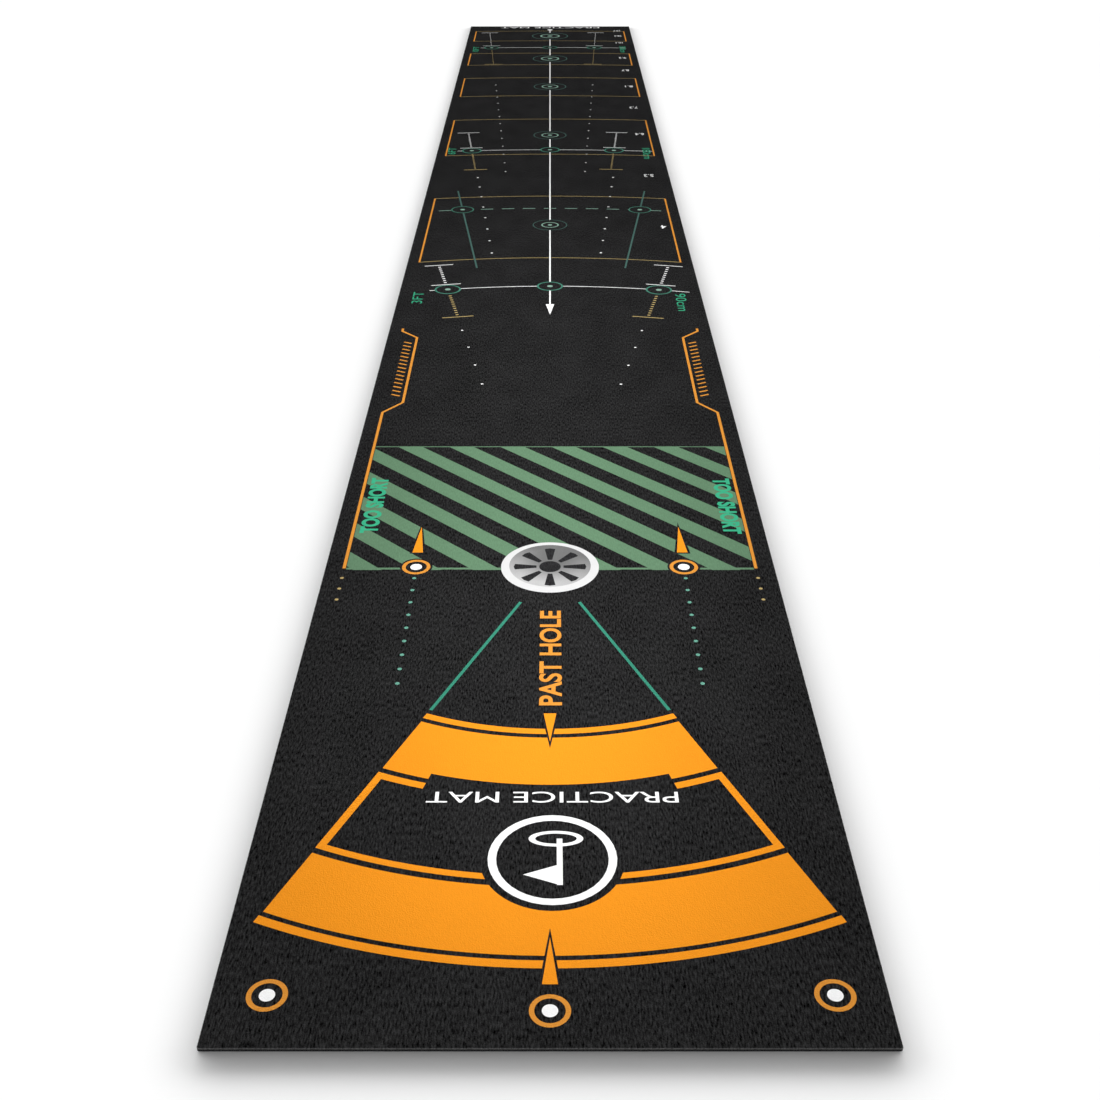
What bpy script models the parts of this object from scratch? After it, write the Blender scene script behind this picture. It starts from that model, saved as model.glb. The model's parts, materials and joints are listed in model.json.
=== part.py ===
"""Practice putting mat: a printed cut-pile carpet vulcanised to a thin rubber backing.

The mat lies flat and rolls up from its far end, printed face inwards. Each layer is made in
sections across the mat, and the sections turn about hinge lines on the printed face, so that a
chain of stiff sections bends and rolls the way the flexible sheet does.

Frame: metres, +Y along the mat from the near end to the far end, +X to the right, +Z up. The
origin is the centre of the underside, which rests on the floor.
"""

import bpy

# Driving dimensions
MAT_LENGTH = 4.0
MAT_WIDTH = 0.5
MAT_THICKNESS = 0.003
RUBBER_THICKNESS = 0.0013
LAYER_GAP = 0.0003

# Sections. The first lies at the near end and forms the outside of the roll. Each next one is
# shorter by SECTION_STEP, which makes the turns of the roll lie parallel, a little more than
# the mat's thickness apart.
SECTION_COUNT = 25
SECTION_STEP = 0.001
SECTION_GAP = 0.0003

CORNER_RADIUS = 0.002
CORNER_SEGMENTS = 3

# Colours as linear red, green, blue
PILE_COLOUR = (0.020, 0.020, 0.021)
PILE_ROUGHNESS = 0.95
RUBBER_COLOUR = (0.012, 0.012, 0.013)
RUBBER_ROUGHNESS = 0.8


def clear_scene():
    for thing in list(bpy.data.objects):
        bpy.data.objects.remove(thing, do_unlink=True)


def new_collection(name):
    collection = bpy.data.collections.new(name)
    bpy.context.scene.collection.children.link(collection)
    return collection


def new_material(name, colour, roughness):
    material = bpy.data.materials.new(name)
    material.use_nodes = True
    shader = material.node_tree.nodes["Principled BSDF"]
    shader.inputs["Base Color"].default_value = (*colour, 1.0)
    shader.inputs["Roughness"].default_value = roughness
    shader.inputs["Metallic"].default_value = 0.0
    return material


def move_to(thing, collection):
    for old in list(thing.users_collection):
        old.objects.unlink(thing)
    collection.objects.link(thing)


def section_lines():
    """The places along Y where the sections begin, and the far end of the last one."""
    mean_length = MAT_LENGTH / SECTION_COUNT
    middle = (SECTION_COUNT - 1) / 2
    lines = [-MAT_LENGTH / 2]
    for index in range(SECTION_COUNT):
        lines.append(lines[-1] + mean_length + SECTION_STEP * (middle - index))
    return lines


def hinge_empty(name, line, previous, previous_line, collection):
    """An empty on the hinge line of a section. Turning it about X lifts all that lies beyond."""
    empty = bpy.data.objects.new(name, None)
    empty.empty_display_size = 0.03
    collection.objects.link(empty)
    if previous is None:
        empty.location = (0.0, line, MAT_THICKNESS)
    else:
        empty.parent = previous
        empty.location = (0.0, line - previous_line, 0.0)
    return empty


def round_mat_corners(slab, end):
    """Round the two upright edges at one end of the mat: end is -1 for near and 1 for far."""
    weights = slab.data.attributes.new("bevel_weight_edge", "FLOAT", "EDGE")
    for edge in slab.data.edges:
        first, second = (slab.data.vertices[i].co for i in edge.vertices)
        upright = abs(first.z - second.z) > LAYER_GAP
        if upright and (first.y + second.y) * end > 0:
            weights.data[edge.index].value = 1.0
    bevel = slab.modifiers.new("corner_radius", "BEVEL")
    bevel.width = CORNER_RADIUS
    bevel.segments = CORNER_SEGMENTS
    bevel.limit_method = "WEIGHT"


def layer_section(name, start, end, bottom, top, hinge, hinge_line, collection, material):
    """One section of one layer: a slab across the mat, held by the empty on its hinge line."""
    bpy.ops.mesh.primitive_cube_add(size=1.0)
    slab = bpy.context.active_object
    slab.name = name
    slab.data.name = name
    slab.scale = (MAT_WIDTH, end - start, top - bottom)
    bpy.ops.object.transform_apply(location=False, rotation=False, scale=True)
    slab.parent = hinge
    slab.location = (0.0, (start + end) / 2 - hinge_line, (bottom + top) / 2 - MAT_THICKNESS)
    slab.data.materials.append(material)
    move_to(slab, collection)
    return slab


def build():
    clear_scene()
    mat = new_collection("practice_putting_mat")
    layers = {
        "rubber_section": (0.0, RUBBER_THICKNESS, RUBBER_COLOUR, RUBBER_ROUGHNESS),
        "pile_section": (RUBBER_THICKNESS + LAYER_GAP, MAT_THICKNESS, PILE_COLOUR, PILE_ROUGHNESS),
    }
    lines = section_lines()
    last = SECTION_COUNT - 1
    hinge = None
    for index in range(SECTION_COUNT):
        line = lines[index]
        hinge = hinge_empty(f"hinge_{index + 1:02d}", line, hinge, lines[index - 1], mat)
        start = line + (SECTION_GAP / 2 if index > 0 else 0.0)
        end = lines[index + 1] - (SECTION_GAP / 2 if index < last else 0.0)
        for layer, (bottom, top, colour, roughness) in layers.items():
            name = f"{layer}_{index + 1:02d}"
            material = new_material(name, colour, roughness)
            slab = layer_section(name, start, end, bottom, top, hinge, line, mat, material)
            if index == 0:
                round_mat_corners(slab, -1)
            if index == last:
                round_mat_corners(slab, 1)


build()
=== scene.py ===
"""The looks of a practice putting mat: printed cut-pile carpet on a thin rubber backing.

Lengths are in metres. A mat place is (x, s): x across the mat from its centre line, to the right,
and s along the mat from its near end. The ball is played from the far end, so most of the print
reads from there. Bearings are in degrees round the printed hole, 0 towards the far end and 90 to
the right.
"""

import json
import math

import bpy
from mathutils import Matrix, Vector
from mathutils.geometry import delaunay_2d_cdt

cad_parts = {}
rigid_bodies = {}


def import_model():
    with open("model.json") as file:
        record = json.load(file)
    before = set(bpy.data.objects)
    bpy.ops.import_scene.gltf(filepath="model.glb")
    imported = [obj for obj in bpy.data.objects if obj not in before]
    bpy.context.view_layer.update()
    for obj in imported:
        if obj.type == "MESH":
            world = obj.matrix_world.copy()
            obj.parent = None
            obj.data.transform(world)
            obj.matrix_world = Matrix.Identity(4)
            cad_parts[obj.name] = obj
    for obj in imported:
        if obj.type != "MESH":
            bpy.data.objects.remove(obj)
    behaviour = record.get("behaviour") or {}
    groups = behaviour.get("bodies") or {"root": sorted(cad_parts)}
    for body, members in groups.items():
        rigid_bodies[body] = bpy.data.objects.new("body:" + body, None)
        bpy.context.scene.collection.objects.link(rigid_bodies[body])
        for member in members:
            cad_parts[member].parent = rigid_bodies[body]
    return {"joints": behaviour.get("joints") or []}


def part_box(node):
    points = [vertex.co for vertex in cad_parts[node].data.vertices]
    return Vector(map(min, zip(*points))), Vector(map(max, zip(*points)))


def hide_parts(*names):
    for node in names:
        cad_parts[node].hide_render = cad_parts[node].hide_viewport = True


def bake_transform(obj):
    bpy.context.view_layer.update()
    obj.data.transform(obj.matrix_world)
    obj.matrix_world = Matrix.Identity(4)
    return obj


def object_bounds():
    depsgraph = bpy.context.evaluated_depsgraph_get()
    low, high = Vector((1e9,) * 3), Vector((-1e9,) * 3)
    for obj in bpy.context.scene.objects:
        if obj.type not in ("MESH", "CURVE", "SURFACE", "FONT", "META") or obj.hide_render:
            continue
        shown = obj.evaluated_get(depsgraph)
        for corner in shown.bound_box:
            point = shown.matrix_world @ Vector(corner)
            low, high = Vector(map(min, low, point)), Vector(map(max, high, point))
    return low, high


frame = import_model()
CAD_LOW, CAD_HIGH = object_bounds()

# The mat, from the frame
NEAR = CAD_LOW.y
FAR = CAD_HIGH.y
HALF_WIDTH = CAD_HIGH.x
TOP = CAD_HIGH.z
RUBBER_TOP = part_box("rubber_section_01")[1].z
FLOOR = CAD_LOW.z

# The two layers. The gaps keep the carpet off the rubber, and each piece off the next one along.
# On the mat's cut edge the carpet's top millimetre below the face is painted lighter, a painted
# highlight along the edge. A piece bends round its hinge over BEND_REACH to each side, in
# BEND_STEPS strips.
LAYER_GAP = 0.00005
CUT_GAP = 0.00005
CORNER_RADIUS = 0.002
CORNER_STEPS = 4
EDGE_ROUNDING = 0.0005
EDGE_STEPS = 3
PAINTED_HIGHLIGHT_DEPTH = 0.0010
BEND_REACH = 0.012
BEND_STEPS = 6

# The print. SPREAD is the bearing from straight back at which the orange fan ends.
FOOT = 0.3048
HOLE_PLACE = 0.6635
CUP_MIDDLE = Vector((0, 0.6665))
CUP_SHADE_BEARING = 18
SPREAD = 23.1
ARC_STEP = 0.012
ROUND_STEPS = 40
SMALL_DISC_STEPS = 24
DOT_STEPS = 12

# The least distance that counts, and the thickness below which a sliver of a letter is left out
SMALLEST = 1e-6
THINNEST = 2e-5

# Edges that turn by more than this many degrees are shaded as sharp
SHARP_ANGLE = 12

# The light. The room is white up to the height of HAZE and darker overhead. A bright low band of
# it, beyond the far end, gives the thin mat its soft shadow. Heights are the sine of the elevation.
HAZE = (0.2, 0.614)
OVERHEAD = 0.1365
BAND_FOOT = (0.020, 0.058)
BAND_HEAD = (0.058, 0.188)
BAND_GLOW = 164.0

# A long narrow lamp hangs over the near end, tilted towards the hole. Its narrow spread keeps its
# light round the hole. LAMP_PLACE is counted along the mat from the near end.
LAMP_SIZE = (0.04, 1.28)
LAMP_PLACE = -0.07
LAMP_HEIGHT = 1.3
LAMP_TILT = 42
LAMP_SPREAD = 28
LAMP_POWER = 1.5

# The camera, from the near edge of the printed face. The tilt is counted from straight down.
CAMERA_BEHIND = 0.6814
CAMERA_ABOVE = 0.8031
CAMERA_TILT = 59.838
CAMERA_LENS = 46.01
CAMERA_SENSOR = 36.0
CAMERA_REACH = 50

# The floor lies a little below the mat, so that the two never share a face
FLOOR_SIZE = 16
FLOOR_DROP = 0.0002
FLOOR_WHITE = 0.97


# Outlines ---------------------------------------------------------------------------------------

def polar(radius, bearing):
    """The mat place at that distance and bearing from the hole."""
    turn = math.radians(bearing)
    return Vector((radius * math.sin(turn), HOLE_PLACE + radius * math.cos(turn)))


def arc(radius, first, last):
    """Places on an arc round the hole, from one bearing to another."""
    steps = max(2, math.ceil(abs(radius * math.radians(last - first)) / ARC_STEP))
    return [polar(radius, first + (last - first) * i / steps) for i in range(steps + 1)]


def band(inner, outer, first, last):
    """A strip round the hole between two radii and two bearings."""
    return arc(outer, first, last) + arc(inner, last, first)


def disc(place, radius, steps=ROUND_STEPS):
    turns = (2 * math.pi * i / steps for i in range(steps))
    return [Vector(place) + Vector((math.cos(t), math.sin(t))) * radius for t in turns]


def stroke(points, width):
    """A line of that width through the points, with mitred corners."""
    points = [Vector(p) for p in points]
    runs = [(b - a).normalized() for a, b in zip(points, points[1:])]
    left = []
    right = []
    for place, into, out in zip(points, runs[:1] + runs, runs + runs[-1:]):
        across = Vector((-into.y - out.y, into.x + out.x)).normalized()
        reach = width / 2 / across.dot(Vector((-into.y, into.x)))
        left.append(place + across * reach)
        right.append(place - across * reach)
    return left + right[::-1]


def wedge(place, half_width, length):
    """A narrow triangle on a base centred at place, pointing along the mat."""
    x, s = place
    return [Vector((x - half_width, s)), Vector((x + half_width, s)), Vector((x, s + length))]


def mirrored(shapes):
    """The shapes and their mirror images across the mat's centre line."""
    for ink, outline in shapes:
        yield ink, outline
        yield ink, [Vector((-p.x, p.y)) for p in outline]


def ring(ink, place, outer, inner, inside="pile"):
    yield ink, disc(place, outer)
    yield inside, disc(place, inner)


def doubled_area(outline):
    """Twice the area inside an outline, negative where it runs clockwise."""
    return sum(a.x * b.y - a.y * b.x for a, b in zip(outline, outline[1:] + outline[:1]))


def thickness(outline):
    """Roughly how thick an outline is: its doubled area over its longest side."""
    longest = max((a - b).length for a, b in zip(outline, outline[1:] + outline[:1]))
    return abs(doubled_area(outline)) / longest


def words(ink, text, place, size, turned, boldness=0.0):
    """Text that fills size (length, height), centred at place and turned anticlockwise."""
    letters = bpy.data.curves.new("words", "FONT")
    letters.body = text
    letters.offset = boldness
    holder = bpy.data.objects.new("words", letters)
    bpy.context.scene.collection.objects.link(holder)
    bpy.context.view_layer.update()
    mesh = bpy.data.meshes.new_from_object(holder)
    corners = [v.co.to_2d() for v in mesh.vertices]
    low = Vector((min(c.x for c in corners), min(c.y for c in corners)))
    high = Vector((max(c.x for c in corners), max(c.y for c in corners)))
    across = Vector((math.cos(math.radians(turned)), math.sin(math.radians(turned))))
    up = Vector((-across.y, across.x))
    for face in mesh.polygons:
        outline = []
        for i in face.vertices:
            u = (corners[i].x - low.x) / (high.x - low.x) - 0.5
            v = (corners[i].y - low.y) / (high.y - low.y) - 0.5
            outline.append(Vector(place) + across * u * size[0] + up * v * size[1])
        if thickness(outline) > THINNEST:
            yield ink, outline
    bpy.data.objects.remove(holder)
    bpy.data.meshes.remove(mesh)


# The print, in the order in which it is painted -------------------------------------------------

def hatch():
    """Green slanting stripes before the hole, between two thin border lines.

    A stripe is what lies between two values of x + s; first is the lower value of one of them.
    """
    side, start, end = 0.2266, 0.6565, 0.969
    pitch, stripe_width, first = 0.0664, 0.0315, 0.6375
    sum_low = start - side
    sum_high = end + side
    index = math.floor((sum_low - first) / pitch)
    while first + index * pitch < sum_high:
        low = first + index * pitch
        stripe = slanted_stripe(low, low + stripe_width, side, start, end)
        if len(stripe) > 2:
            yield "sage", stripe
        index += 1
    for s, width in ((start + 0.003, 0.004), (end - 0.001, 0.002)):
        yield "sage", stroke([(-side, s), (side, s)], width)


def slanted_stripe(low, high, side, start, end):
    """What lies between x + s = low and x + s = high in the box of the hatch."""
    outline = [Vector(p) for p in ((-side, start), (side, start), (side, end), (-side, end))]
    for limit, sign in ((low, 1), (high, -1)):
        kept = []
        for a, b in zip(outline, outline[1:] + outline[:1]):
            at_a = sign * (a.x + a.y - limit)
            at_b = sign * (b.x + b.y - limit)
            if at_a >= 0:
                kept.append(a)
            if at_a * at_b < 0:
                kept.append(a.lerp(b, at_a / (at_a - at_b)))
        outline = kept
        if not outline:
            break
    return outline


def side_lines():
    """Orange lines down both sides, stepping in beside a row of slanting ticks."""
    outer, inner = 0.2291, 0.2042
    points = [
        (outer, 0.66), (outer, 1.075), (inner, 1.108),
        (inner, 1.35), (outer, 1.377), (outer, 1.388),
    ]
    line_width, tick_width = 0.0036, 0.0031
    shapes = [("line_orange", stroke(points, line_width))]
    ticks, first, spacing, lean = 15, 1.13, 0.014, 0.006
    tick_inner, tick_outer = 0.2107, 0.2227
    for i in range(ticks):
        s = first + spacing * i
        tick = stroke([(tick_inner, s), (tick_outer, s + lean)], tick_width)
        shapes.append(("line_orange", tick))
    yield from mirrored(shapes)


def zone_words():
    """Words up both sides of the stripes, and between the hole and the fan."""
    yield from words("zone_teal", "TOO SHORT", (-0.2110, 0.81), (0.14, 0.0215), 90, 0.045)
    yield from words("zone_teal", "TOO SHORT", (0.2122, 0.808), (0.14, 0.0215), -90, 0.045)
    yield from words("line_orange", "PAST HOLE", (0.0005, 0.489), (0.1675, 0.0225), 90, 0.025)


def sector():
    """The orange fan past the hole: two wide bands, thin lines round them and a framed panel."""
    half = SPREAD
    back = 180
    for inner, outer, reach in (
        (0.581, 0.589, half + 0.1),
        (0.503, 0.5764, half),
        (0.490, 0.4967, half + 0.1),
        (0.3083, 0.3755, half),
        (0.295, 0.3028, half + 0.2),
    ):
        yield "orange", band(inner, outer, back - reach, back + reach)
    notch = 16.4
    frame_width = 0.007
    for side in (-1, 1):
        yield "orange", band(0.375, 0.383, back + side * notch, back + side * half)
        yield "orange", band(0.389, 0.397, back + side * notch, back + side * half)
        top = polar(0.389, back + side * (half + 0.1))
        foot = polar(0.493, back + side * (half + 0.1))
        along = (foot - top).normalized()
        inwards = Vector((along.y, -along.x)) * -side * frame_width / 2
        yield "orange", stroke([top + inwards, foot + inwards], frame_width)


def wedges():
    """Orange pointers at the fan's two ends, each with a dark outline."""
    half_width, dark_half_width = 0.006, 0.0088
    for s, length in ((0.059, 0.047), (0.3925, -0.043)):
        margin = math.copysign(0.0025, length)
        yield "pile", wedge((0, s - margin), dark_half_width, length + 5 * margin)
        yield "orange", wedge((0, s), half_width, length)


def emblem():
    """A white ring round a flag and hole, upright for someone at the far end, and a caption."""
    centre = Vector((0.002, 0.194))
    dark, outer, inner = 0.060, 0.0535, 0.0465
    yield "pile", disc(centre, dark, 64)
    yield from ring("white", centre, outer, inner)

    def seen_from_far(u, v):
        return centre - Vector((u, v))

    pole_u, pole_top, pole_width = -0.006, 0.031, 0.0048

    def pole(foot, top):
        return stroke([seen_from_far(pole_u, foot), seen_from_far(pole_u, top)], pole_width)

    flag = ((pole_u, pole_top), (0.024, 0.019), (pole_u, 0.007))
    yield "white", pole(-0.022, pole_top)
    yield "white", [seen_from_far(u, v) for u, v in flag]
    cup = seen_from_far(-0.003, -0.024)
    for ink, radius, flattening in (("white", 0.023, 0.42), ("pile", 0.0175, 0.36)):
        yield ink, [cup + Vector((p.x, p.y * flattening)) for p in disc((0, 0), radius)]
    yield "white", pole(-0.024, 0.0)
    yield from words("white", "PRACTICE MAT", (0.002, 0.27125), (0.22, 0.0145), 180, 0.0)


def near_rings():
    """Three ringed dots along the near end."""
    outer, inner, dot = 0.0154, 0.0115, 0.006
    for place in ((-0.2083, 0.0485), (0, 0.034), (0.21, 0.0485)):
        yield from ring("line_orange", place, outer, inner)
        yield "white", disc(place, dot)


def aim_lines():
    """Teal lines from the hole to the fan, and rows of dots beside them."""
    start, end, width = 0.080, 0.289, 0.0034
    for side in (-1, 1):
        bearing = 180 + side * SPREAD
        yield "aim_teal", stroke([polar(start, bearing), polar(end, bearing)], width)
        for ink, count, x, first, spacing, radius in (
            ("aim_mint", 9, 0.1492, 0.441, 0.02475, 0.0023),
            ("faint_orange", 3, 0.2288, 0.595, 0.02225, 0.0021),
        ):
            for i in range(count):
                yield ink, disc((side * x, first + spacing * i), radius, DOT_STEPS)


def hole_markers():
    """A ringed dot and a pointer on each side of the hole."""
    dark, outer, inner, dot = 0.0182, 0.0158, 0.0117, 0.0065
    foot, margin = 0.695, 0.0025
    for side in (-1, 1):
        x = side * 0.150
        yield "pile", wedge((x, foot - margin), 0.0092, 0.0725)
        yield "orange", wedge((x, foot), 0.0060, 0.060)
        place = (side * 0.149, 0.663)
        yield "pile", disc(place, dark)
        yield from ring("line_orange", place, outer, inner)
        yield "white", disc(place, dot)


def hole():
    """The printed hole: a white rim round a shaded grey cup with eight slots."""
    rim, cup, hub = 0.0545, 0.0455, 0.012
    slots, slot_start, slot_end = 8, 0.015, 0.039
    narrow, wide, bulge = 0.0025, 0.006, 0.0015
    yield "rim_white", disc((0, HOLE_PLACE), rim, 72)
    yield "cup_grey", disc(CUP_MIDDLE, cup, 64)
    middle = CUP_MIDDLE - Vector((0, 0.0028))
    for i in range(slots):
        turn = 2 * math.pi * i / slots
        out = Vector((math.sin(turn), math.cos(turn)))
        across = Vector((-out.y, out.x))
        inner = middle + out * slot_start
        outer = middle + out * slot_end
        yield "cup_dark", [
            inner - across * narrow, inner + across * narrow,
            outer + across * wide, outer + out * bulge, outer - across * wide,
        ]
    yield "cup_dark", disc(middle, hub, 32)


def dotted_rays():
    """White dots on rays from the hole, closer to the centre line as they go."""
    spacing = 0.0707
    for bearings, first, count, radius in (
        ((-10.78, 11.28), 0.518, 4, 0.0019),
        ((-5.43, 4.75), 1.098, 8, 0.0022),
        ((-3.3, 2.6), 1.635, 13, 0.0018),
    ):
        for bearing in bearings:
            for i in range(count):
                yield "white", disc(polar(first + spacing * i, bearing), radius, DOT_STEPS)


def centre_line():
    """A white arrow towards the hole, on a line to the far end."""
    tip, head, end = 1.4485, 1.496, 3.94
    head_half_width, overlap, width, end_radius = 0.0068, 0.002, 0.0025, 0.008
    yield "white", wedge((0, head), head_half_width, tip - head)
    yield "white", stroke([(0, head - overlap), (0, end)], width)
    yield "white", disc((0, end), end_radius, SMALL_DISC_STEPS)


def distance_arcs():
    """White arcs at measured distances from the hole, each with three teal rings on it."""
    half_band = 0.0010
    outer, inner, dot = 0.022, 0.0190, 0.0048
    for radius, bearings, reach in (
        (0.919, (-10.7, 11.4), (-12.6, 14.6)),
        (1.813, (-5.5, 4.5), (-6.5, 7.2)),
        (2.992, (-3.3, 2.5), (-3.9, 4.3)),
    ):
        yield "white", band(radius - half_band, radius + half_band, *reach)
        for bearing in (bearings[0], 0, bearings[1]):
            yield from ring("teal", polar(radius, bearing), outer, inner)
            yield "mint", disc(polar(radius, bearing), dot, SMALL_DISC_STEPS)


def crossbar(middle, along, half_length, width):
    """A bar square to a scale that runs in the direction along."""
    reach = Vector((along.y, -along.x)) * half_length
    return stroke([middle - reach, middle + reach], width)


def ladders():
    """Scales with rungs across the arcs: orange on the hole's side and white beyond the arc."""
    pitch, rung_share = 0.0100, 0.33
    bar, orange_width, white_width = 0.025, 0.0024, 0.0022
    ring_clearance = 0.022
    for radius, bearings, below, above, top, rung in (
        (0.919, (-10.7, 11.4), 0.130, 0.024, 0.125, 0.0024),
        (1.813, (-5.5, 4.5), 0.158, 0.024, 0.162, 0.0017),
        (2.992, (-3.3, 2.5), 0.240, 0.030, 0.240, 0.0008),
    ):
        for bearing in bearings:
            start = polar(radius - below, bearing)
            along = (polar(radius, bearing) - start).normalized()
            yield "faint_orange", crossbar(start, along, bar, orange_width)
            for distance in (below + above, below + top):
                yield "white", crossbar(start + along * distance, along, bar, white_width)
            for ink, first, last in (
                ("faint_orange", 0, below - ring_clearance),
                ("white", below + above, below + top),
            ):
                rungs = round((last - first) / pitch)
                for i in range(1, rungs):
                    middle = start + along * (first + (last - first) * i / rungs)
                    yield ink, crossbar(middle, along, rung, pitch * rung_share)


def target_boxes():
    """Orange boxes across the mat, their ends curved round the hole."""
    side, half_band, side_width = 0.2292, 0.0009, 0.0031
    for inner, outer in (
        (1.067, 1.450),
        (1.775, 2.101),
        (2.353, 2.571),
        (2.743, 2.907),
        (3.096, 3.257),
    ):
        for radius in (inner, outer):
            reach = math.degrees(math.asin(side / radius))
            yield "faint_orange", band(radius - half_band, radius + half_band, -reach, reach)
        start, end = (HOLE_PLACE + math.sqrt(radius ** 2 - side ** 2) for radius in (inner, outer))
        for x in (-side, side):
            yield "line_orange", stroke([(x, start), (x, end)], side_width)


def targets():
    """Ringed targets on the centre line, larger as they lie further away."""
    faint_share, bright_share, dot_share = 0.955, 0.85, 0.25
    for s, outer, inner in (
        (1.9225, 0.0325, 0.0165),
        (2.608, 0.038, 0.020),
        (3.124, 0.0425, 0.022),
        (3.491, 0.049, 0.026),
        (3.8367, 0.055, 0.030),
    ):
        yield from ring("faint_teal", (0, s), outer, outer * faint_share)
        yield from ring("mint", (0, s), inner, inner * bright_share)
        yield "mint", disc((0, s), inner * dot_share, SMALL_DISC_STEPS)


def drift_lines():
    """A dashed mint arc in the first box, and two slanting teal lines across it, each ringed."""
    radius, half_band = 1.366, 0.0012
    dash, pitch, side = 0.024, 0.041, 0.217
    dash_turn, pitch_turn, reach = (math.degrees(length / radius) for length in (dash, pitch, side))
    bearing = -reach
    while bearing + dash_turn <= reach + SMALLEST:
        yield "mint", band(radius - half_band, radius + half_band, bearing, bearing + dash_turn)
        bearing += pitch_turn
    start, end, width = 1.02, 1.498, 0.0030
    outer, inner, dot = 0.022, 0.0200, 0.0045
    for ray in (-7.15, 7.35):
        yield "faint_teal", stroke([polar(start, ray), polar(end, ray)], width)
        ring_place = polar(radius + 0.002, ray)
        yield from ring("teal", ring_place, outer, inner)
        yield "mint", disc(ring_place, dot, SMALL_DISC_STEPS)


def numerals():
    """Distances: in both units beside the arcs, and in feet down the right-hand side."""
    for text, x, s, length, turned in (
        ("3FT", -0.2175, 1.527, 0.054, 90),
        ("90cm", 0.215, 1.5055, 0.080, -90),
        ("6FT", -0.2175, 2.465, 0.054, 90),
        ("180cm", 0.214, 2.445, 0.090, -90),
        ("10FT", -0.2175, 3.627, 0.075, 90),
        ("300cm", 0.214, 3.627, 0.090, -90),
    ):
        yield from words("text_teal", text, (x, s), (length, 0.0175), turned, 0.0)
    yield from words("white", "4", (0.2135, 1.91), (0.010, 0.020), 180, 0.02)
    for s in (2.265, 2.6175, 2.885, 3.126, 3.33, 3.502, 3.728, 3.837, 3.924):
        feet = f"{(s - HOLE_PLACE) / FOOT:.1f}"
        yield from words("white", feet, (0.2075, s), (0.020, 0.019), 180)
    yield from words("white", "PRACTICE MAT", (0, 3.9795), (0.31, 0.018), 180)


ARTWORK = [
    *hatch(), *side_lines(), *zone_words(), *sector(), *wedges(), *emblem(), *near_rings(),
    *aim_lines(), *hole_markers(), *hole(), *dotted_rays(), *target_boxes(), *centre_line(),
    *distance_arcs(), *ladders(), *targets(), *drift_lines(), *numerals(),
]


# Meshes -----------------------------------------------------------------------------------------

def anticlockwise(outline):
    """The outline, turned round if it runs clockwise."""
    return outline if doubled_area(outline) > 0 else outline[::-1]


def piece_outline(start, end):
    """The face of a piece inside its rounded edges, anticlockwise, with rounded mat corners."""
    half = HALF_WIDTH - CORNER_RADIUS
    radius = CORNER_RADIUS - EDGE_ROUNDING
    outline = []
    for turn, x, y, mat_end, inwards in (
        (180, -half, start, NEAR, 1),
        (270, half, start, NEAR, 1),
        (0, half, end, FAR, -1),
        (90, -half, end, FAR, -1),
    ):
        if y == mat_end:
            for i in range(CORNER_STEPS + 1):
                angle = math.radians(turn + 90 * i / CORNER_STEPS)
                centre = Vector((x, y + inwards * CORNER_RADIUS))
                outline.append(centre + Vector((math.cos(angle), math.sin(angle))) * radius)
        else:
            outline.append(Vector((math.copysign(half + radius, x), y)))
    return outline


def outward(corner):
    """The direction out of the mat's edge at a corner of a face, or none along a cut."""
    half_x = HALF_WIDTH - CORNER_RADIUS
    core = Vector((
        max(-half_x, min(half_x, corner.x)),
        max(NEAR + CORNER_RADIUS, min(FAR - CORNER_RADIUS, corner.y)),
    ))
    away = corner - core
    return away.normalized() if away.length > SMALLEST else Vector((0, 0))


def cut_face(outline, lines, shapes):
    """Cuts a flat face along the lines and shapes: its corners, triangles and each one's ink."""
    places = []
    edges = []
    faces = []

    def add(points):
        first = len(places)
        places.extend(points)
        return list(range(first, len(places)))

    loop = add(outline)
    edges.extend(zip(loop, loop[1:] + loop[:1]))
    side = HALF_WIDTH - EDGE_ROUNDING
    for y in lines:
        edges.append(tuple(add([Vector((-side, y)), Vector((side, y))])))
    for ink, shape in shapes:
        faces.append(add(anticlockwise([Vector((p.x, p.y + NEAR)) for p in shape])))
    corners, _, triangles, _, _, sources = delaunay_2d_cdt(places, edges, faces, 0, SMALLEST)
    start = min(p.y for p in outline)
    end = max(p.y for p in outline)
    kept = []
    inks = []
    for triangle, painted_by in zip(triangles, sources):
        middle = sum(corners[i].y for i in triangle) / len(triangle)
        if start < middle < end:
            kept.append(list(triangle))
            inks.append(shapes[max(painted_by)][0] if painted_by else "pile")
    used = sorted({i for triangle in kept for i in triangle})
    number = {old: new for new, old in enumerate(used)}
    return [corners[i] for i in used], [[number[i] for i in t] for t in kept], inks


def rim_of(faces):
    """The corners round the edge of a patch of faces, in order."""
    sides = {(a, b) for face in faces for a, b in zip(face, face[1:] + face[:1])}
    following = {a: b for a, b in sides if (b, a) not in sides}
    loop = [min(following)]
    while following[loop[-1]] != loop[0]:
        loop.append(following[loop[-1]])
    return loop


def strips(loop, corners, lines):
    """The face inside a loop of corners, cut into strips along the lines."""
    for low, high in zip(lines, lines[1:]):
        yield [i for i in loop if low - SMALLEST <= corners[i].y <= high + SMALLEST]


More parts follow.
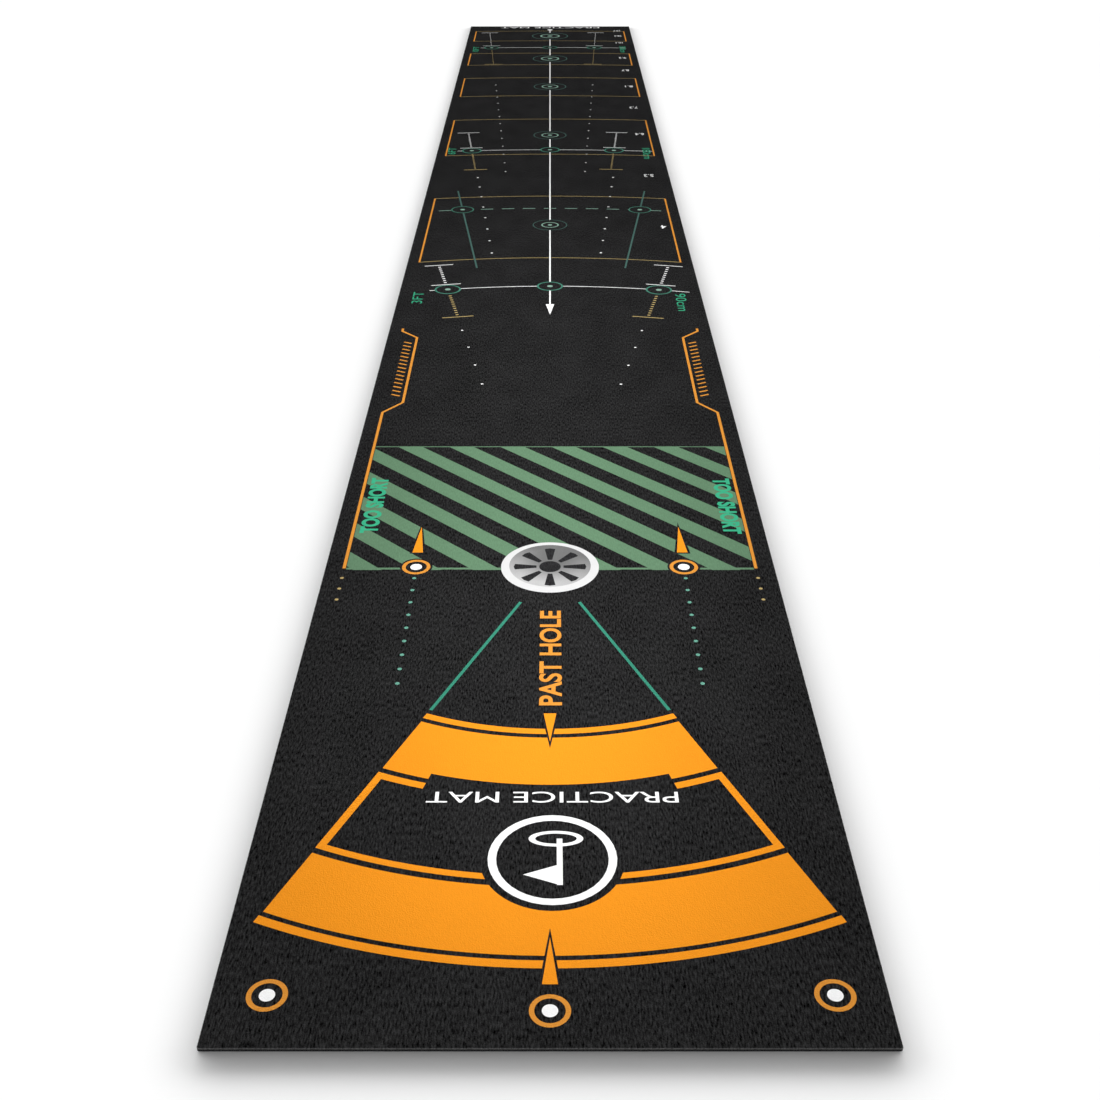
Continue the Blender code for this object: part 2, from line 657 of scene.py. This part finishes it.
def layer_object(name, corners, faces, inks, edge_ink, profile, lines):
    """A closed solid under a flat face, with walls down the profile's steps, and a base.

    A step is how far out of the face's rim the wall stands there, and at what height.
    """
    loop = rim_of(faces)
    flat = list(corners)
    heights = [profile[0][1]] * len(flat)
    solid = list(faces)
    upper = loop
    for outset, height in profile[1:]:
        lower = []
        for i in loop:
            lower.append(len(flat))
            flat.append(corners[i] + outward(corners[i]) * outset)
            heights.append(height)
        for k in range(len(loop)):
            following = (k + 1) % len(loop)
            solid.append([upper[k], lower[k], lower[following], upper[following]])
        upper = lower
    solid.extend(face[::-1] for face in strips(upper, flat, lines))
    mesh = bpy.data.meshes.new(name)
    mesh.from_pydata([(p.x, p.y, z) for p, z in zip(flat, heights)], [], solid)
    inks = [*inks, *[edge_ink] * (len(solid) - len(inks))]
    used = sorted(set(inks))
    for ink in used:
        mesh.materials.append(MATERIALS[ink])
    slots = [used.index(ink) for ink in inks]
    mesh.polygons.foreach_set("material_index", slots)
    mesh.polygons.foreach_set("use_smooth", [True] * len(solid))
    place = mesh.attributes.new("mat_place", "FLOAT_VECTOR", "POINT")
    for i, (p, z) in enumerate(zip(flat, heights)):
        place.data[i].vector = (p.x, p.y - NEAR, z)
    mesh.update()
    mesh.set_sharp_from_angle(angle=math.radians(SHARP_ANGLE))
    layer = bpy.data.objects.new(name, mesh)
    bpy.context.scene.collection.objects.link(layer)
    return layer


def rounded_edge(height, rounding, steps):
    """Steps of a quarter round, from the face at that height out and down to the wall."""
    for i in range(steps + 1):
        angle = math.pi / 2 * i / steps
        yield rounding * math.sin(angle) - rounding, height - rounding * (1 - math.cos(angle))


# Materials --------------------------------------------------------------------------------------

def add_node(tree, kind, inputs=None, **settings):
    node = tree.nodes.new(kind)
    for name, value in settings.items():
        setattr(node, name, value)
    for name, value in (inputs or {}).items():
        if isinstance(value, bpy.types.NodeSocket):
            tree.links.new(value, node.inputs[name])
        else:
            node.inputs[name].default_value = value
    return node


def ramp(tree, value, start, end, low=0.0, high=1.0):
    """low up to start, high from end on, and a straight slope between them."""
    limits = {"Value": value, "From Min": start, "From Max": end, "To Min": low, "To Max": high}
    return add_node(tree, "ShaderNodeMapRange", limits).outputs["Result"]


def product(tree, first, second):
    return add_node(tree, "ShaderNodeMath", {0: first, 1: second}, operation="MULTIPLY").outputs[0]


def new_material(name):
    material = bpy.data.materials.new(name)
    material.use_nodes = True
    tree = material.node_tree
    place = add_node(tree, "ShaderNodeAttribute", attribute_name="mat_place").outputs["Vector"]
    return material, tree, tree.nodes["Principled BSDF"], place


def grain(tree, place, size, detail=2.0):
    """Noise from 0 to 1 whose grains have that size along x, s and z."""
    per_metre = tuple(1 / length for length in size)
    scaled = add_node(tree, "ShaderNodeVectorMath", {0: place, 1: per_metre}, operation="MULTIPLY")
    settings = {"Vector": scaled.outputs[0], "Scale": 1.0, "Detail": detail}
    return add_node(tree, "ShaderNodeTexNoise", settings).outputs["Fac"]


def summed(tree, terms, start):
    """start plus each weight times its value."""
    total = start
    for value, weight in terms:
        values = {0: value, 1: weight, 2: total}
        total = add_node(tree, "ShaderNodeMath", values, operation="MULTIPLY_ADD").outputs[0]
    return total


def pile_material(name, colour, contrast, end_colour=None, share_of_end=None):
    """Short cut pile in one ink, or in an ink that changes to end_colour as share_of_end says.

    The noises average a half each, so the tone averages 1 whatever the contrast.
    """
    material, tree, shader, place = new_material(name)
    streaks = grain(tree, place, (0.0015, 0.0060, 0.0015))
    tufts = grain(tree, place, (0.0008, 0.0012, 0.0008), 1.0)
    wear = grain(tree, place, (0.05, 0.09, 0.05))
    weights = [4.0 * contrast, 1.5 * contrast, 0.6 * contrast]
    tone = summed(tree, list(zip((streaks, tufts, wear), weights)), 1.0 - sum(weights) / 2)
    ink = colour
    if end_colour:
        ink = mixed(tree, share_of_end(tree, place), colour, end_colour)
    tinted = add_node(tree, "ShaderNodeVectorMath", {0: ink, "Scale": tone}, operation="SCALE")
    tree.links.new(tinted.outputs[0], shader.inputs["Base Color"])
    height = summed(tree, [(streaks, 0.35), (tufts, 0.65)], 0.0)
    bump = add_node(tree, "ShaderNodeBump", {"Height": height, "Strength": 0.5, "Distance": 0.0006})
    tree.links.new(bump.outputs["Normal"], shader.inputs["Normal"])
    shader.inputs["Roughness"].default_value = 0.95
    shader.inputs["Specular IOR Level"].default_value = 0.0
    return material


def mixed(tree, share, colour, end_colour):
    mix = add_node(tree, "ShaderNodeMix", data_type="RGBA")
    tree.links.new(share, mix.inputs[0])
    mix.inputs[6].default_value = (*colour, 1.0)
    mix.inputs[7].default_value = (*end_colour, 1.0)
    return mix.outputs[2]


def cup_shade(tree, place):
    """How deep the cup's shade is: more at its far side, a little to the right, and at its hub."""
    middle = (*CUP_MIDDLE, TOP)
    ends = {0: place, 1: middle}
    offset = add_node(tree, "ShaderNodeVectorMath", ends, operation="SUBTRACT").outputs[0]
    bearing = math.radians(CUP_SHADE_BEARING)
    shaded = (math.sin(bearing), math.cos(bearing), 0.0)
    along = add_node(tree, "ShaderNodeVectorMath", {0: offset, 1: shaded}, operation="DOT_PRODUCT")
    radius = add_node(tree, "ShaderNodeVectorMath", {0: offset}, operation="LENGTH")
    across_cup = ramp(tree, along.outputs["Value"], -0.040, 0.032)
    to_hub = ramp(tree, radius.outputs["Value"], 0.012, 0.036, low=0.35, high=0.0)
    return summed(tree, [(across_cup, 1.0), (to_hub, 1.0)], 0.0)


def painted_edge_highlight(tree, place):
    """0 low on the cut edge of the carpet and 1 on its upper part, which is painted lighter as a
    highlight.
    """
    height = add_node(tree, "ShaderNodeSeparateXYZ", {0: place}).outputs["Z"]
    return ramp(tree, height, TOP - PAINTED_HIGHLIGHT_DEPTH - 0.0001, TOP - PAINTED_HIGHLIGHT_DEPTH + 0.0001)


def rubber_material():
    """Black rubber with a fine raised grid of dots on it."""
    material, tree, shader, place = new_material("backing_rubber")
    specks = grain(tree, place, (0.0008, 0.0008, 0.0008))
    patches = grain(tree, place, (0.03, 0.03, 0.03))
    tone = summed(tree, [(specks, 0.35), (patches, 0.35)], 0.65)
    colour = (0.028, 0.028, 0.029)
    tinted = add_node(tree, "ShaderNodeVectorMath", {0: colour, "Scale": tone}, operation="SCALE")
    tree.links.new(tinted.outputs[0], shader.inputs["Base Color"])
    pitch = 0.004
    per_pitch = (1 / pitch,) * 3
    scaled = add_node(tree, "ShaderNodeVectorMath", {0: place, 1: per_pitch}, operation="MULTIPLY")
    settings = {"Vector": scaled.outputs[0], "Scale": 1.0, "Randomness": 0.0}
    dots = add_node(tree, "ShaderNodeTexVoronoi", settings, voronoi_dimensions="2D")
    height = summed(tree, [(dots.outputs["Distance"], -1.0), (specks, 0.2)], 1.0)
    bump = add_node(tree, "ShaderNodeBump", {"Height": height, "Strength": 0.6, "Distance": 0.0004})
    tree.links.new(bump.outputs["Normal"], shader.inputs["Normal"])
    shader.inputs["Roughness"].default_value = 0.85
    shader.inputs["Specular IOR Level"].default_value = 0.06
    return material


MATERIALS = {
    "pile": pile_material("pile_black", (0.0145, 0.0145, 0.0147), 1.1),
    # The cut edge turns to the lighter end colour on its upper part: a painted highlight along the
    # edge.
    "cut_edge": pile_material(
        "pile_cut_edge", (0.024, 0.024, 0.025), 0.5, (0.115, 0.115, 0.115), painted_edge_highlight),
    "orange": pile_material("print_orange", (0.74, 0.252, 0.0139), 0.03),
    "line_orange": pile_material("print_line_orange", (0.60, 0.240, 0.036), 0.05),
    "sage": pile_material("print_sage", (0.101, 0.188, 0.1115), 0.12),
    "faint_orange": pile_material("print_faint_orange", (0.40, 0.30, 0.125), 0.1),
    "faint_teal": pile_material("print_faint_teal", (0.052, 0.110, 0.096), 0.2),
    "teal": pile_material("print_teal", (0.052, 0.178, 0.129), 0.06),
    "aim_teal": pile_material("print_aim_teal", (0.034, 0.203, 0.138), 0.06),
    "zone_teal": pile_material("print_zone_teal", (0.040, 0.345, 0.190), 0.06),
    "text_teal": pile_material("print_text_teal", (0.035, 0.285, 0.160), 0.06),
    "mint": pile_material("print_mint", (0.205, 0.340, 0.275), 0.06),
    "aim_mint": pile_material("print_aim_mint", (0.115, 0.298, 0.229), 0.06),
    "white": pile_material("print_white", (0.83, 0.83, 0.83), 0.02),
    "rim_white": pile_material("print_rim_white", (0.53, 0.53, 0.53), 0.02),
    "cup_grey": pile_material(
        "print_cup_grey", (0.39, 0.39, 0.39), 0.03, (0.125, 0.125, 0.125), cup_shade),
    "cup_dark": pile_material("print_cup_dark", (0.0185, 0.0185, 0.0195), 0.5),
    "rubber": rubber_material(),
}


# The pieces: each runs from the middle of one section to the middle of the next -----------------

CARPET_PROFILE = [*rounded_edge(TOP, EDGE_ROUNDING, EDGE_STEPS), (0.0, RUBBER_TOP + LAYER_GAP)]
RUBBER_PROFILE = [(0.0, RUBBER_TOP), (0.0, FLOOR)]


def shifted(profile):
    """The profile's outsets counted from the inset outline instead of from the mat's edge."""
    return [(outset + EDGE_ROUNDING, height) for outset, height in profile]


def place_of_cut(lines, index):
    """Where piece number index begins: the mat's end, or the middle of a section."""
    if index == 0:
        return NEAR
    if index == len(lines):
        return FAR
    return (lines[index - 1] + lines[index]) / 2


def build_piece(number, joint, start, end, sections):
    hinge = joint["pos_m"][1]
    bends = [hinge + BEND_REACH * i / BEND_STEPS for i in range(-BEND_STEPS, BEND_STEPS + 1)]
    lines = [start, *bends, end]
    outline = piece_outline(start, end)
    shapes = [
        (ink, shape) for ink, shape in ARTWORK
        if min(p.y for p in shape) + NEAR < end and max(p.y for p in shape) + NEAR > start
    ]
    corners, faces, inks = cut_face(outline, bends, shapes)
    carpet = layer_object(
        f"carpet_{number:02d}", corners, faces, inks, "cut_edge", shifted(CARPET_PROFILE), lines)
    corners, faces, _ = cut_face(outline, bends, [])
    rubber = ["rubber"] * len(faces)
    backing = layer_object(
        f"backing_{number:02d}", corners, faces, rubber, "rubber", shifted(RUBBER_PROFILE), lines)
    for layer, kind, slot in ((carpet, "pile", "pile"), (backing, "rubber", "rubber_backing")):
        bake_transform(layer)
        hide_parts(*(f"{kind}_{section}" for section in sections))


def build_mat():
    joints = frame["joints"]
    lines = [joint["pos_m"][1] for joint in joints]
    for index, joint in enumerate(joints):
        start = place_of_cut(lines, index)
        end = place_of_cut(lines, index + 1)
        if index > 0:
            start += CUT_GAP / 2
        if index < len(joints) - 1:
            end -= CUT_GAP / 2
        sections = [joint["parent"]]
        if index == len(joints) - 1:
            sections.append(joint["child"])
        build_piece(index + 1, joint, start, end, sections)


# The studio -------------------------------------------------------------------------------------

def build_floor():
    bpy.ops.mesh.primitive_plane_add(size=FLOOR_SIZE, location=(0, 0, FLOOR - FLOOR_DROP))
    floor = bpy.context.active_object
    floor.name = "floor"
    material = bpy.data.materials.new("floor")
    material.use_nodes = True
    shader = material.node_tree.nodes["Principled BSDF"]
    shader.inputs["Base Color"].default_value = (FLOOR_WHITE, FLOOR_WHITE, FLOOR_WHITE, 1.0)
    shader.inputs["Roughness"].default_value = 1.0
    shader.inputs["Specular IOR Level"].default_value = 0.0
    floor.data.materials.append(material)
    return floor


def build_room():
    world = bpy.data.worlds.new("studio")
    world.use_nodes = True
    tree = world.node_tree
    direction = add_node(tree, "ShaderNodeTexCoord").outputs["Generated"]
    parts = add_node(tree, "ShaderNodeSeparateXYZ", {0: direction})
    height, beyond = parts.outputs["Z"], parts.outputs["Y"]
    walls = ramp(tree, height, *HAZE, low=1.0, high=OVERHEAD)
    above_foot = ramp(tree, height, *BAND_FOOT)
    below_head = ramp(tree, height, *BAND_HEAD, low=1.0, high=0.0)
    towards_far_end = ramp(tree, beyond, 0.0, 1.0, high=BAND_GLOW)
    glow = product(tree, product(tree, above_foot, below_head), towards_far_end)
    strength = add_node(tree, "ShaderNodeMath", {0: walls, 1: glow}, operation="ADD").outputs[0]
    background = tree.nodes["Background"]
    background.inputs["Color"].default_value = (1.0, 1.0, 1.0, 1.0)
    tree.links.new(strength, background.inputs["Strength"])
    bpy.context.scene.world = world
    bpy.context.scene.view_settings.view_transform = "Standard"


def build_lamp(floor):
    """The long lamp. It leaves out the floor, where it would wash out the mat's shadow."""
    data = bpy.data.lights.new("lamp", "AREA")
    data.shape = "RECTANGLE"
    data.size, data.size_y = LAMP_SIZE
    data.spread = math.radians(LAMP_SPREAD)
    data.energy = LAMP_POWER
    lamp = bpy.data.objects.new("lamp", data)
    lamp.location = (0, NEAR + LAMP_PLACE, LAMP_HEIGHT)
    lamp.rotation_euler = (math.radians(LAMP_TILT), 0, 0)
    bpy.context.scene.collection.objects.link(lamp)
    unlit = bpy.data.collections.new("unlit_by_lamp")
    unlit.objects.link(floor)
    unlit.collection_objects[0].light_linking.link_state = "EXCLUDE"
    lamp.light_linking.receiver_collection = unlit


def build_camera():
    data = bpy.data.cameras.new("camera")
    data.lens = CAMERA_LENS
    data.sensor_width = CAMERA_SENSOR
    data.clip_end = CAMERA_REACH
    camera = bpy.data.objects.new("camera", data)
    camera.location = (0, NEAR - CAMERA_BEHIND, TOP + CAMERA_ABOVE)
    camera.rotation_euler = (math.radians(CAMERA_TILT), 0, 0)
    bpy.context.scene.collection.objects.link(camera)
    bpy.context.scene.camera = camera


build_camera()
build_room()
build_lamp(build_floor())
build_mat()
